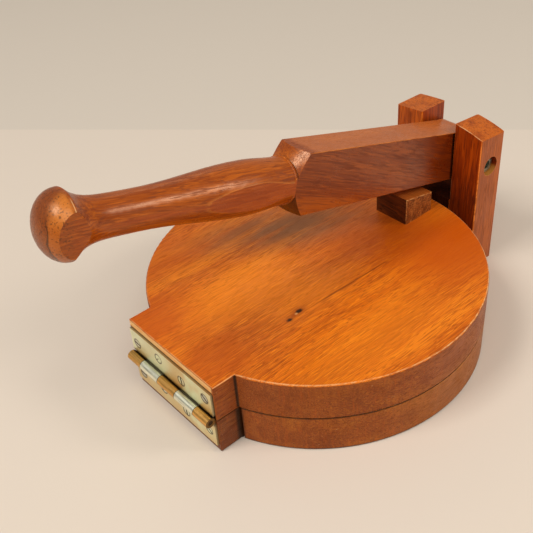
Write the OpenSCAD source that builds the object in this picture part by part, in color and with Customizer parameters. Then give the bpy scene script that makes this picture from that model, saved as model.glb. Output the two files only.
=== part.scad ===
// Wooden tortilla press. Two round plates are joined by a butt hinge at the -X end. A turned lever
// swings between two posts at the +X end and bears on a wedge-shaped block on the upper plate.
// Z is up, Z = 0 is the table, X runs from the hinge to the posts, and the origin is under the
// centre of the plates. All sizes are in millimetres and all angles in degrees.

/* [Plates] */
// Diameter of the round pressing plates
plate_d = 200; // [170:1:240]
// Thickness of each plate
plate_t = 23.8; // [20:0.1:30]
// Gap between the closed plates
plate_gap = 0.3; // [0.2:0.1:1.5]
// Rounding of the outer rim edges
rim_r = 0.9; // [0.6:0.1:3]
// Rounding of the rim edges where the plates meet
seam_r = 0.6; // [0.3:0.1:1.5]
// Width of the tab that carries the hinge
tab_w = 75.6; // [70:0.1:90]
// How far the hinge tab stands past the round edge
tab_reach = 6.7; // [4:0.1:14]
// Width at the rim of the V-shaped relief notch beside the lower tab
notch_w = 1.6; // [1:0.1:4]
// How far the foot that carries the posts stands past the round edge
foot_reach = 8.6; // [6:0.1:16]

/* [Posts] */
// Thickness of a post along X
post_d = 22.3; // [16:0.1:32]
// Width of a post along Y
post_w = 20.6; // [16:0.1:30]
// Height of the crown of the near post, which peaks at the middle of the press
near_post_h = 101; // [94:0.1:120]
// Radius of the crown of the near post
near_crown_r = 100; // [60:5:400]
// Backward fall of the top of the near post
near_crown_fall = 5; // [0:0.5:8]
// Height of the crown of the far post, which peaks at the middle of the press
far_post_h = 100.2; // [94:0.1:120]
// Radius of the crown of the far post
far_crown_r = 300; // [60:5:400]
// Backward fall of the top of the far post
far_crown_fall = 1.5; // [0:0.5:8]
// Rounding of the post edges
post_edge_r = 1.2; // [0.4:0.1:2.5]
// Height of the spacer between the feet of the posts
spacer_h = 46; // [30:0.5:52]

/* [Block] */
// Distance from the edge of the upper plate to the back of the block
block_setback = 10; // [4:0.5:24]
// Length of the block along X
block_l = 24; // [16:0.5:30]
// Width of the block along Y
block_w = 25; // [18:0.5:36]
// Height of the block at its front face
block_h = 18; // [14:0.5:21]
// Slope of the top of the block, falling to the posts
block_slope = 11.7; // [8:0.1:13]
// Rounding of the block edges
block_edge_r = 0.8; // [0.3:0.1:2]

/* [Lever] */
// Width of the lever stock along Y
lever_w = 22.8; // [18:0.1:30]
// Side clearance between the lever and the near post
near_side_gap = 0.5; // [0.3:0.1:3]
// Side clearance between the lever and the far post
far_side_gap = 2.4; // [0.3:0.1:3]
// Angle of the lever above level when it is at rest
lever_rest = 15.3; // [15:0.1:22]
// Height of the pivot above the table
pivot_h = 74.5; // [73:0.1:82]
// Radius of the rounded tail of the lever
tail_r = 16; // [13:0.1:18]
// How far the flat faces of the stock lie inside the round tail
face_inset = 0.3; // [0.2:0.05:0.6]
// Depth of the lever stock at the turned handle
stock_depth = 35.6; // [34:0.1:40]
// Height of the handle axis above the line through the pivot
axis_rise = 2.1; // [0:0.1:5]
// Rounding of the long edges of the lever stock
stock_edge_r = 0.5; // [0.3:0.1:1.5]
// Distance from the pivot to the shoulder where the turning starts
shoulder_at = 138.6; // [120:0.5:170]
// Length of the turned shoulder
shoulder_l = 8; // [4:0.1:12]
// Radius at the bottom of the fine groove at the foot of the shoulder
groove_r = 12; // [10:0.1:14]
// Width between the two flat sides of the handle
handle_w = 24.8; // [20:0.1:30]
// Width of the small bead after the groove
bead_l = 2.4; // [1.5:0.1:5]
// Height of the bead above its two feet
bead_h = 0.9; // [0.3:0.1:2]
// Radius of the handle neck
neck_r = 12.8; // [10:0.1:14]
// Distance from the shoulder to the middle of the swelling
swell_at = 35.5; // [20:0.5:50]
// Radius of the handle at the swelling
swell_r = 14.2; // [12:0.1:16]
// Distance from the swelling to the slim waist
waist_at = 66; // [50:0.5:90]
// Radius of the handle at the waist
waist_r = 10.1; // [8:0.1:12]
// Distance from the waist to the ridge of the end knob
knob_at = 35.5; // [25:0.5:50]
// Radius of the ridge of the end knob
knob_r = 16.7; // [14:0.1:17]
// How far the dome of the knob stands past its ridge
dome_l = 12.5; // [8:0.1:18]

/* [Pivot] */
// Diameter of the pivot bolt
bolt_d = 6; // [5:0.1:8]
// Diameter of the bolt head
bolt_head_d = 10; // [9:0.1:12]
// Height of the bolt head
bolt_head_h = 4; // [3:0.1:6]
// Width across flats of the socket in the bolt head
socket_af = 5; // [3:0.1:6]
// Depth of the socket in the bolt head
socket_depth = 2.8; // [1.5:0.1:2.9]
// Width across flats of the nut
nut_af = 10; // [9:0.1:11]
// Height of the nut
nut_h = 5; // [4:0.1:6]
// Outer diameter of the pivot washers
washer_d = 11.6; // [10:0.1:14]
// Thickness of the pivot washers
washer_t = 1; // [0.6:0.1:1.6]
// Diameter of the counterbores in the posts
counterbore_d = 12.4; // [12.2:0.1:16]
// Depth of the counterbores in the posts
counterbore_depth = 8; // [7.5:0.1:10]

/* [Hinge] */
// Length of the hinge
hinge_l = 73; // [60:0.5:75]
// Distance from the hinge pin to the edge of each leaf
leaf_h = 19; // [16:0.5:20]
// Thickness of the hinge leaves
leaf_t = 1.3; // [1:0.1:2]
// Outer radius of the hinge knuckles
knuckle_r = 3; // [2.5:0.1:4]
// Length of the two end knuckles
end_knuckle_l = 12.1; // [8:0.1:16]
// Length of the two knuckles of the upper leaf
upper_knuckle_l = 16.6; // [10:0.1:20]
// Diameter of the hinge pin
pin_d = 3; // [2:0.1:4]
// Clearance between neighbouring knuckles
knuckle_gap = 0.3; // [0.2:0.05:0.6]
// Number of screws in each leaf
leaf_screws = 4; // [2:1:5]
// Distance between neighbouring leaf screws
leaf_screw_pitch = 20.6; // [12:0.1:24]
// Distance from the hinge pin to the middle line of the leaf screws
leaf_screw_row = 11.6; // [9:0.1:13]
// Zigzag of the leaf screws to either side of their middle line
leaf_screw_stagger = 1.1; // [0:0.1:2]

/* [Screws] */
// Shank diameter of the leaf screws
leaf_screw_d = 3; // [2.5:0.1:3.5]
// Length of the leaf screws
leaf_screw_l = 15; // [10:0.5:25]
// Shank diameter of the block screws
block_screw_d = 4; // [3:0.1:5]
// How far the block screws reach into the block
block_screw_bite = 9; // [6:0.5:10]
// Distance between the two block screws
block_screw_pitch = 13; // [9:0.5:15]
// Shank diameter of the post screws
post_screw_d = 4.4; // [3.5:0.1:5]
// How far the post screws reach into the foot
post_screw_bite = 28; // [20:1:45]
// Distance between the two screws of a post
post_screw_pitch = 11; // [9:0.5:13]
// Head diameter of a screw as a multiple of its shank diameter
head_ratio = 1.9; // [1.6:0.05:2.1]

/* [Fits] */
// Radial clearance of a pin, bolt or screw in its hole
fit_gap = 0.05; // [0.02:0.01:0.1]
// Clearance between curved faces that move past each other
curve_gap = 0.3; // [0.2:0.05:0.6]
// Clearance between seated pieces
seat_gap = 0.05; // [0.02:0.01:0.2]

/* [Hidden] */
$fn = 96;

// How far cuts run past the faces that they open, and joined shapes run into each other
overlap = 1;

// Plates
plate_r = plate_d / 2;
lid_z = plate_t + plate_gap;
lid_top = lid_z + plate_t;
tab_end = plate_r + tab_reach;
foot_end = plate_r + foot_reach;
notch_angle = asin((tab_w / 2 + notch_w) / plate_r);

// Posts and pivot: how far the inner and outer face of a post lie from the middle of the press;
// side is -1 for the near post and 1 for the far one, here and below
function inner(side) = lever_w / 2 + (side < 0 ? near_side_gap : far_side_gap);
function outer(side) = inner(side) + post_w;
post_back = foot_end + post_d;
pivot_x = foot_end + post_d / 2;
foot_w = outer(-1) + outer(1);
foot_mid_y = (outer(1) - outer(-1)) / 2;
bolt_bore_d = bolt_d + 2 * fit_gap;

// The block
block_front = plate_r - block_setback - block_l;

// Hinge pin line
pin_x = -(tab_end + curve_gap + knuckle_r);
pin_z = plate_t + plate_gap / 2;
mid_knuckle_l = hinge_l - 2 * end_knuckle_l - 2 * upper_knuckle_l;
upper_knuckle_mid = (mid_knuckle_l + upper_knuckle_l) / 2;
end_knuckle_mid = (hinge_l - end_knuckle_l) / 2;

// Sawn lever stock: its flat faces lie face_at from the pivot
face_at = tail_r - face_inset;
tail_edge_r = stock_edge_r / 2;

// Turned handle, measured along its axis from the pivot
bead_at = shoulder_at + shoulder_l;
flats_at = bead_at + bead_l / 2;
swell_pos = shoulder_at + swell_at;
waist_pos = swell_pos + waist_at;
knob_pos = waist_pos + knob_at;
handle_end = knob_pos + dome_l;
corner_r = norm([lever_w, stock_depth]) / 2 + overlap;
shoulder_power = 1.1;
cove_power = 5;
turn_steps = 9;

// Small shared shapes ------------------------------------------------------------------------

// Half outline of a slab edge: rounded by r_low at the bottom corner and by r_high at the top one.
module edge_profile(reach, t, r_low, r_high) {
    square([reach - r_low, t / 2]);
    translate([0, t / 2]) square([reach - r_high, t / 2]);
    translate([0, r_low]) square([reach, t - r_low - r_high]);
    translate([reach - r_low, r_low]) circle(r_low);
    translate([reach - r_high, t - r_high]) circle(r_high);
}

// Rectangle centred on the origin with rounded corners.
module rounded_rect(w, h, r) {
    square([w - 2 * r, h], center = true);
    square([w, h - 2 * r], center = true);
    for (sx = [-1, 1], sy = [-1, 1])
        translate([sx * (w / 2 - r), sy * (h / 2 - r)]) circle(r);
}

// Straight prism along Y, from a drawing in the X-Z plane.
module along_y(w) {
    rotate([90, 0, 0]) linear_extrude(w, center = true) children();
}

// Cylinder along Y from y0 to y1.
module y_rod(r, y0, y1) {
    translate([0, y0, 0]) rotate([-90, 0, 0]) cylinder(r = r, h = y1 - y0);
}

// Flat-headed wood screw along +X with its head at x = 0, and its slot turned by angle.
module wood_screw(d, l, angle) {
    head_r = head_ratio * d / 2;
    head_h = head_r - d / 2;
    slot_w = 0.3 * d;
    tip_d = 0.3 * d;
    difference() {
        rotate([0, 90, 0]) {
            cylinder(r1 = head_r, r2 = d / 2, h = head_h);
            cylinder(d = d, h = l - d);
            translate([0, 0, l - d]) cylinder(d1 = d, d2 = tip_d, h = d);
        }
        rotate([angle, 0, 0]) cube([head_h, 3 * d, slot_w], center = true);
    }
}

// The hole that the same screw sits in: a countersink and a straight bore, both with clearance.
module screw_hole(d, l) {
    head_r = head_ratio * d / 2 + fit_gap;
    rotate([0, 90, 0]) {
        cylinder(r1 = head_r, r2 = d / 2 + fit_gap, h = head_r - d / 2 - fit_gap);
        cylinder(d = d + 2 * fit_gap, h = l + seat_gap);
        translate([0, 0, -overlap]) cylinder(r = head_r, h = overlap + seat_gap);
    }
}

// Places of the screws -----------------------------------------------------------------------

// Each child is placed at one leaf screw; side is 1 for the upper leaf and -1 for the lower one.
module at_leaf_screws(side) {
    for (i = [0 : leaf_screws - 1]) {
        y = (i - (leaf_screws - 1) / 2) * leaf_screw_pitch;
        stagger = leaf_screw_stagger * (i % 2 == 0 ? 1 : -1);
        $turn = 35 + 50 * i;
        translate([-tab_end - leaf_t + seat_gap, y, pin_z + side * leaf_screw_row + stagger])
            children();
    }
}

// Each child is placed at one screw of a post.
module at_post_screws(side) {
    for (i = [-1, 1]) {
        $turn = 20 + 60 * i;
        translate([post_back - seat_gap, side * (inner(side) + post_w / 2),
                   plate_t / 2 + i * post_screw_pitch / 2])
            rotate([0, 0, 180]) children();
    }
}

// Each child is placed at one screw of the block, pointing up from the pressing face.
module at_block_screws() {
    for (i = [-1, 1]) {
        $turn = 15 * i;
        translate([block_front + block_l / 2, i * block_screw_pitch / 2, lid_z + seat_gap])
            rotate([0, -90, 0]) children();
    }
}

block_screw_l = plate_t + block_screw_bite;
post_screw_l = post_d + post_screw_bite;

// Plates -------------------------------------------------------------------------------------

// A tongue that runs from inside the disc to x = reach, with the same rounded edges as the rim.
module tongue(reach, half_w, r_low, r_high) {
    intersection() {
        along_y(2 * half_w) edge_profile(reach, plate_t, r_low, r_high);
        rotate([90, 0, 90]) linear_extrude(reach) {
            edge_profile(half_w, plate_t, r_low, r_high);
            mirror([1, 0]) edge_profile(half_w, plate_t, r_low, r_high);
        }
        translate([reach / 2, 0, 0]) linear_extrude(plate_t)
            rounded_rect(reach, 2 * half_w, seam_r);
    }
}

// A round plate with its hinge tab; r_low and r_high round its lower and upper edges.
module plate_blank(r_low, r_high) {
    rotate_extrude() edge_profile(plate_r, plate_t, r_low, r_high);
    mirror([1, 0, 0]) tongue(tab_end, tab_w / 2, r_low, r_high);
}

// The notch on the +Y side of the tab: one wall runs along the tab and the other is square to the rim.
module notch() {
    outside = plate_r + 2 * overlap;
    translate([0, 0, -overlap]) linear_extrude(plate_t + 2 * overlap)
        polygon([[-tab_w / 2 / tan(notch_angle), tab_w / 2], [-outside, tab_w / 2],
                 outside * [-cos(notch_angle), sin(notch_angle)]]);
}

module bottom_plate() {
    color("chocolate") difference() {
        union() {
            plate_blank(rim_r, seam_r);
            translate([0, foot_mid_y, 0]) tongue(foot_end, foot_w / 2, rim_r, seam_r);
        }
        notch();
        mirror([0, 1, 0]) notch();
        at_leaf_screws(-1) screw_hole(leaf_screw_d, leaf_screw_l);
        for (side = [-1, 1]) at_post_screws(side) screw_hole(post_screw_d, post_screw_l);
    }
}

module top_plate() {
    color("orangered") difference() {
        translate([0, 0, lid_z]) plate_blank(seam_r, rim_r);
        at_leaf_screws(1) screw_hole(leaf_screw_d, leaf_screw_l);
        at_block_screws() screw_hole(block_screw_d, block_screw_l);
    }
}

// Posts --------------------------------------------------------------------------------------

// A post standing on the table, of height h under a crown of radius r that falls backward.
module post(side, h, r, fall) {
    difference() {
        intersection() {
            translate([pivot_x, side * (inner(side) + post_w / 2), 0]) linear_extrude(h)
                rounded_rect(post_d, post_w, post_edge_r);
            translate([foot_end, 0, h - r]) rotate([0, 90 + fall, 0])
                cylinder(r = r, h = 4 * post_d, center = true, $fn = 180);
        }
        translate([pivot_x, 0, pivot_h]) {
            y_rod(bolt_bore_d / 2, -outer(-1) - overlap, outer(1) + overlap);
            mirror([0, side > 0 ? 0 : 1, 0])
                y_rod(counterbore_d / 2, outer(side) - counterbore_depth, outer(side) + overlap);
        }
        at_post_screws(side) screw_hole(post_screw_d, post_screw_l);
    }
}

module near_post() {
    color("saddlebrown") post(-1, near_post_h, near_crown_r, near_crown_fall);
}

module far_post() {
    color("sienna") post(1, far_post_h, far_crown_r, far_crown_fall);
}

// The spacer that closes the slot between the posts below the sweep of the lever.
module post_spacer() {
    color("brown") translate([foot_end, -inner(-1), 0])
        cube([post_d, inner(-1) + inner(1), spacer_h]);
}

// Block --------------------------------------------------------------------------------------

// The wedge that the lever bears on.
module press_block() {
    color("peru") difference() {
        intersection() {
            translate([block_front + block_l / 2, 0, lid_top]) linear_extrude(block_h)
                rounded_rect(block_l, block_w, block_edge_r);
            translate([block_front, 0, lid_top + block_h]) rotate([0, block_slope, 0])
                translate([0, 0, -block_h]) rotate([90, 0, 90])
                    linear_extrude(3 * block_l, center = true)
                        rounded_rect(block_w, 2 * block_h, block_edge_r);
        }
        at_block_screws() screw_hole(block_screw_d, block_screw_l);
    }
}

// Lever --------------------------------------------------------------------------------------

// Smooth step from a to b, level at both ends, for u from 0 to 1.
function ease(a, b, u) = a + (b - a) * (1 - cos(180 * u)) / 2;

// Points of one stretch of the turning between two stations, given as [distance, radius].
function stretch(p, q) = [for (i = [1 : turn_steps])
    let (u = i / turn_steps) [p[0] + (q[0] - p[0]) * u, ease(p[1], q[1], u)]];

// Slightly rounded shoulder from the square stock down to the groove.
function shoulder_curve() = [for (i = [1 : turn_steps])
    let (u = i / turn_steps)
    [shoulder_at + shoulder_l * u, corner_r + (groove_r - corner_r) * pow(u, shoulder_power)]];

function bead_curve() = [for (i = [1 : turn_steps])
    let (a = 180 * i / turn_steps)
    [bead_at + bead_l * (1 - cos(a)) / 2,
     ease(groove_r, neck_r, i / turn_steps) + bead_h * sin(a)]];

// Cove between the waist and the ridge of the knob.
function cove_curve() = [for (i = [1 : turn_steps])
    let (u = i / turn_steps)
    [waist_pos + knob_at * u, waist_r + (knob_r - waist_r) * pow(u, cove_power)]];

// Dome past the ridge of the knob.
function dome_curve() = [for (i = [1 : turn_steps])
    let (a = 90 * i / turn_steps) [knob_pos + dome_l * sin(a), knob_r * cos(a)]];

// Half outline of the turning as [radius, distance], closed along the axis.
function turning() =
    let (curve = concat([[-2 * tail_r, corner_r], [shoulder_at, corner_r]],
                        shoulder_curve(),
                        bead_curve(),
                        stretch([bead_at + bead_l, neck_r], [swell_pos, swell_r]),
                        stretch([swell_pos, swell_r], [waist_pos, waist_r]),
                        cove_curve(),
                        [for (i = [0 : turn_steps - 2]) dome_curve()[i]]))
    concat([[0, -2 * tail_r]], [for (p = curve) [p[1], p[0]]], [[0, handle_end]]);

// Slope of a flat face of the stock that stands height above or below the pivot at the shoulder.
function face_slope(height) = atan2(height, shoulder_at) - asin(face_at / norm([shoulder_at, height]));

// Round-edged bar that has only the upper face of the stock in its place, or for side -1 the lower one.
module stock_bar(side) {
    rotate([0, side * face_slope(stock_depth / 2 + side * axis_rise), 0])
        translate([-flats_at - overlap, 0, side * (face_at - stock_depth)])
            rotate([90, 0, 90]) linear_extrude(flats_at + overlap)
                rounded_rect(lever_w, 2 * stock_depth, stock_edge_r);
}

// The sawn stock, whose two flat faces run into the round tail, and the wider blank of the handle.
module stock() {
    intersection() {
        stock_bar(1);
        stock_bar(-1);
    }
    translate([0, lever_w / 2, 0]) rotate([90, 0, 0])
        rotate_extrude() edge_profile(tail_r, lever_w, tail_edge_r, tail_edge_r);
    translate([-handle_end - overlap, -handle_w / 2, -stock_depth])
        cube([handle_end + overlap - flats_at, handle_w, 2 * stock_depth]);
}

// The lever lying level, with its pivot at the origin and its handle pointing to -X.
module lever_level() {
    difference() {
        intersection() {
            stock();
            translate([0, 0, axis_rise]) rotate([0, -90, 0]) rotate_extrude() polygon(turning());
        }
        y_rod(bolt_bore_d / 2, -lever_w, lever_w);
    }
}

module lever() {
    color("sienna") translate([pivot_x, 0, pivot_h]) rotate([0, lever_rest, 0]) lever_level();
}

// Pivot hardware -----------------------------------------------------------------------------

bolt_head_y = -outer(-1) + counterbore_depth - washer_t - 2 * seat_gap;
nut_y = outer(1) - counterbore_depth + washer_t + 2 * seat_gap;

module pivot_bolt() {
    color("darkkhaki") translate([pivot_x, 0, pivot_h]) difference() {
        union() {
            y_rod(bolt_head_d / 2, bolt_head_y - bolt_head_h, bolt_head_y);
            y_rod(bolt_d / 2, bolt_head_y - overlap, nut_y + nut_h + overlap);
        }
        translate([0, bolt_head_y - bolt_head_h - overlap, 0]) rotate([-90, 0, 0])
            cylinder(d = socket_af / cos(30), h = overlap + socket_depth, $fn = 6);
    }
}

// A plain washer that lies from y0 towards +Y.
module washer(y0) {
    translate([pivot_x, 0, pivot_h]) difference() {
        y_rod(washer_d / 2, y0, y0 + washer_t);
        y_rod(bolt_bore_d / 2, y0 - overlap, y0 + washer_t + overlap);
    }
}

module near_washer() {
    color("silver") washer(-outer(-1) + counterbore_depth - washer_t - seat_gap);
}

module far_washer() {
    color("silver") washer(outer(1) - counterbore_depth + seat_gap);
}

module pivot_nut() {
    color("darkkhaki") translate([pivot_x, 0, pivot_h]) difference() {
        translate([0, nut_y, 0]) rotate([-90, 0, 0])
            cylinder(d = nut_af / cos(30), h = nut_h, $fn = 6);
        y_rod(bolt_bore_d / 2, nut_y - overlap, nut_y + nut_h + overlap);
    }
}

// Hinge --------------------------------------------------------------------------------------

// Knuckle of length l with its middle at y.
module knuckle(y, l) {
    translate([pin_x, 0, pin_z]) y_rod(knuckle_r, y - l / 2, y + l / 2);
}

// A leaf with knuckles at the given places and cut-outs at the places of the other leaf's
// knuckles, both as [middle, length]; side is 1 for the upper leaf and -1 for the lower one.
module leaf(side, own, other) {
    edge = leaf_h - knuckle_gap;
    difference() {
        union() {
            translate([-tab_end - leaf_t, -hinge_l / 2,
                       side > 0 ? pin_z + knuckle_gap : pin_z - leaf_h])
                cube([leaf_t, hinge_l, edge]);
            for (k = own) knuckle(k[0], k[1]);
        }
        for (k = other)
            translate([pin_x, k[0], pin_z])
                cube([4 * knuckle_r, k[1] + 2 * knuckle_gap, 2 * (knuckle_r + curve_gap)],
                     center = true);
        translate([pin_x, 0, pin_z]) y_rod(pin_d / 2 + fit_gap, -hinge_l, hinge_l);
        at_leaf_screws(side) screw_hole(leaf_screw_d, leaf_screw_l);
    }
}

upper_knuckles = [for (s = [-1, 1]) [s * upper_knuckle_mid, upper_knuckle_l - knuckle_gap]];
lower_knuckles = concat([[0, mid_knuckle_l - knuckle_gap]],
                        [for (s = [-1, 1]) [s * end_knuckle_mid, end_knuckle_l - knuckle_gap]]);

module hinge_lower_leaf() {
    color("goldenrod") leaf(-1, lower_knuckles, upper_knuckles);
}

module hinge_upper_leaf() {
    color("darkkhaki") leaf(1, upper_knuckles, lower_knuckles);
}

module hinge_pin() {
    color("darkgoldenrod") translate([pin_x, 0, pin_z])
        y_rod(pin_d / 2, -hinge_l / 2 + knuckle_gap, hinge_l / 2 - knuckle_gap);
}

// Screws -------------------------------------------------------------------------------------

module lower_leaf_screws() {
    color("tan") at_leaf_screws(-1) wood_screw(leaf_screw_d, leaf_screw_l, $turn);
}

module upper_leaf_screws() {
    color("tan") at_leaf_screws(1) wood_screw(leaf_screw_d, leaf_screw_l, $turn);
}

module near_post_screws() {
    color("silver") at_post_screws(-1) wood_screw(post_screw_d, post_screw_l, $turn);
}

module far_post_screws() {
    color("silver") at_post_screws(1) wood_screw(post_screw_d, post_screw_l, $turn);
}

module block_screws() {
    color("silver") at_block_screws() wood_screw(block_screw_d, block_screw_l, $turn);
}

bottom_plate();
top_plate();
near_post();
far_post();
post_spacer();
press_block();
lever();
pivot_bolt();
near_washer();
far_washer();
pivot_nut();
hinge_lower_leaf();
hinge_upper_leaf();
hinge_pin();
lower_leaf_screws();
upper_leaf_screws();
near_post_screws();
far_post_screws();
block_screws();
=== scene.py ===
"""Wooden tortilla press: finish of its boards, turned lever, brass hinge and steel fasteners."""
from math import radians

import bpy
from mathutils import Matrix, Vector


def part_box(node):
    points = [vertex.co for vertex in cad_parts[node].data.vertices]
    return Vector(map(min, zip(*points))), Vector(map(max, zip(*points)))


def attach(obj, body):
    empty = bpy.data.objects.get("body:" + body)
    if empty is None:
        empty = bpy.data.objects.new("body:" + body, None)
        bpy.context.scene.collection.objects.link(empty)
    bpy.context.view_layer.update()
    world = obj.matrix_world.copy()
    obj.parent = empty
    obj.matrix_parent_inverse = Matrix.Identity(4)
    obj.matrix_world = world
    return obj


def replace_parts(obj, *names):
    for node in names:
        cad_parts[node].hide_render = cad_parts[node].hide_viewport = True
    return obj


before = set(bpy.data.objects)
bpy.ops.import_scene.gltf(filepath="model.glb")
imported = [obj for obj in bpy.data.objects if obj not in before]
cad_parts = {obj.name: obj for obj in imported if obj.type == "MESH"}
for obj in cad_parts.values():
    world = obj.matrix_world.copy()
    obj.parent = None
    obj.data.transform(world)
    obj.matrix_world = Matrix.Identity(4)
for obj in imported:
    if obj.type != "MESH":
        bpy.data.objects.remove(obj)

bl_info = {
    "name": "Tortilla Press",
    "version": (1, 0, 0),
    "blender": (4, 5, 0),
    "location": "View3D > Sidebar > Press",
    "description": "Finishes a wooden tortilla press and sets its stage",
    "category": "Object",
}


# Places taken from the packed model ---

def low(node):
    """The lowest corner of a node's box."""
    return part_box(node)[0]


def high(node):
    """The highest corner of a node's box."""
    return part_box(node)[1]


def middle(node):
    """The middle of a node's box."""
    return (low(node) + high(node)) / 2


PLATE_T = high("bottom_plate").z
LID_TOP = high("top_plate").z
TAB_END = low("top_plate").x
LEAF_SIDE = high("hinge_upper_leaf").y
LEAF_TOP = high("hinge_upper_leaf").z
POST_FRONT = low("near_post").x
POST_SIDE = low("near_post").y
POST_TOP = high("near_post").z
PIVOT = Vector((middle("pivot_bolt").x, 0, middle("pivot_bolt").z))
PIN = middle("hinge_pin")

# Inner corner between a plate's round and its hinge tab.
NOTCH = Vector((-0.0926, 0.0378))
# Radii of the bolt's counterbore, the hinge's barrel and the heads of its screws.
BORE_RADIUS, BARREL_RADIUS, SCREW_HEAD = 0.0063, 0.00325, 0.0029
# The leaf screws: their spacing, their distance from the pin, and how far each is off its row.
SCREW_PITCH, SCREW_ROW, SCREW_STAGGER = 0.0206, 0.0116, 0.0011
# The lever: its slope, half the width between its flats, and places along it from the pivot.
LEVER_TILT = radians(15.3)
FLAT_SIDE = 0.0124
FLATS_AT = -0.1478
GROOVE_AT = -0.1466
SHOULDER_AT = -0.1435
CHAMFER_AT = -0.136
NECK_AT = -0.240
DOME_AT = -0.2755


# Settings -----------------------------

def tone(name, description, default):
    """A colour that the user can change."""
    return bpy.props.FloatVectorProperty(
        name=name, description=description, default=default, size=3, min=0, max=1,
        precision=3, subtype="COLOR")


def size(name, description, default, most=0.5):
    """A length that the user can change, in metres."""
    return bpy.props.FloatProperty(
        name=name, description=description, default=default, min=0, max=most,
        precision=5, unit="LENGTH")


def share(name, description, default):
    """An amount from none to full that the user can change."""
    return bpy.props.FloatProperty(
        name=name, description=description, default=default, min=0, max=1, subtype="FACTOR")


def power(name, description, default):
    """The power of a light that the user can change, in watts."""
    return bpy.props.FloatProperty(
        name=name, description=description, default=default, min=0, max=500, unit="POWER")


# What every board has. The defaults differ.
BOARD_SETTINGS = {
    "figure": (size, "Figure width", "Width of the tone bands"),
    "pore": (size, "Pore width", "Width of the fine pores"),
    "pores": (share, "Pore depth", "How dark the pores are"),
    "fibre": (share, "Fibre contrast", "How far the fine fibres differ in tone"),
    "ring": (size, "Ring spacing", "Spacing of the growth rings"),
    "relief": (size, "Pore relief", "Depth of the pores in the lacquer"),
    "gloss": (share, "Roughness", "Roughness of the lacquer"),
    "shine": (share, "Shine", "Strength of the lacquer's reflections"),
}


def board(setting, default):
    """A setting that every board has."""
    kind, name, description = BOARD_SETTINGS[setting]
    return kind(name, description, default)


class PlateLook(bpy.types.PropertyGroup):
    """Wood of the two round plates."""
    bright: tone("Bright wood", "Palest tone of the board faces", (0.94, 0.262, 0.010))
    middle: tone("Middle wood", "Main tone of the board faces", (0.72, 0.152, 0.005))
    deep: tone("Deep wood", "Darkest bands of the board faces", (0.36, 0.056, 0.002))
    red: tone("Red wood", "Redder zones of the upper plate", (0.54, 0.085, 0.002))
    # Painted shadow of the lever on the upper plate.
    shade: tone("Dull wood", "Greyish brown zone under the lever", (0.22, 0.086, 0.034))
    side: tone("Side stain", "Tint of the upright sides", (0.46, 0.45, 0.68))
    dust: tone("Dust", "Pale flecks on the sides", (0.70, 0.42, 0.20))
    # A pale line that is partly wear and partly a painted highlight.
    edge: tone("Worn edge", "Thin line along the upper rim", (0.95, 0.62, 0.28))
    raw: tone("Raw strip", "Bare wood above the hinge", (0.88, 0.52, 0.20))
    figure: board("figure", 0.016)
    pore: board("pore", 0.00045)
    pores: board("pores", 0.52)
    fibre: board("fibre", 0.46)
    ring: board("ring", 0.0065)
    knot_size: size("Knot size", "Length of the small knot in the upper plate", 0.0060)
    relief: board("relief", 0.00003)
    gloss: board("gloss", 0.40)
    shine: board("shine", 0.40)


class PostLook(bpy.types.PropertyGroup):
    """Wood of the two posts and the spacer between them."""
    bright: tone("Bright wood", "Palest tone of the posts", (0.70, 0.15, 0.010))
    middle: tone("Middle wood", "Main tone of the posts", (0.48, 0.080, 0.004))
    deep: tone("Deep wood", "Darkest streaks of the posts", (0.24, 0.030, 0.002))
    front: tone("Front stain", "Tint of near post's front, far post's inside", (0.64, 0.46, 0.30))
    # Painted sheen: a pinkish tone laid on the near post's outer side.
    side: tone("Side bloom", "Pinkish tone of the near post's outer side", (0.34, 0.095, 0.026))
    edge: tone("Worn edge", "Rubbed edges of the posts", (0.80, 0.22, 0.03))
    figure: board("figure", 0.010)
    pore: board("pore", 0.00075)
    pores: board("pores", 0.60)
    fibre: board("fibre", 0.48)
    ring: board("ring", 0.0045)
    relief: board("relief", 0.00004)
    gloss: board("gloss", 0.40)
    shine: board("shine", 0.40)


class BlockLook(bpy.types.PropertyGroup):
    """Wood of the wedge block."""
    bright: tone("Bright wood", "Palest tone of the block", (0.52, 0.17, 0.035))
    middle: tone("Middle wood", "Main tone of the block", (0.36, 0.092, 0.014))
    deep: tone("Deep wood", "Darkest rings of the block", (0.12, 0.026, 0.004))
    edge: tone("Worn edge", "Rubbed edges of the block", (0.66, 0.33, 0.11))
    figure: board("figure", 0.006)
    pore: board("pore", 0.0007)
    pores: board("pores", 0.7)
    fibre: board("fibre", 0.45)
    ring: board("ring", 0.0028)
    relief: board("relief", 0.00006)
    gloss: board("gloss", 0.45)
    shine: board("shine", 0.40)


class LeverLook(bpy.types.PropertyGroup):
    """Wood of the lever with its turned handle."""
    bright: tone("Bright wood", "Palest tone of the handle", (0.52, 0.120, 0.006))
    middle: tone("Middle wood", "Main tone of the lever", (0.34, 0.062, 0.003))
    deep: tone("Deep wood", "Darkest streaks of the lever", (0.19, 0.025, 0.002))
    stock: tone("Stock stain", "Tint of the sawn part's sides", (0.64, 0.54, 0.50))
    # On the upper edges of the sawn part this is partly wear, partly a painted highlight.
    edge: tone("Worn edge", "Rubbed edges and the outline of the flats", (0.75, 0.26, 0.05))
    figure: board("figure", 0.012)
    pore: board("pore", 0.00065)
    pores: board("pores", 0.45)
    fibre: board("fibre", 0.48)
    ring: board("ring", 0.0050)
    lean: bpy.props.FloatProperty(
        name="Grain slope", description="Angle of the grain to the sawn part of the lever",
        default=radians(13), min=-0.5, max=0.5, subtype="ANGLE")
    relief: board("relief", 0.000012)
    gloss: board("gloss", 0.26)
    shine: board("shine", 0.62)


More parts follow.
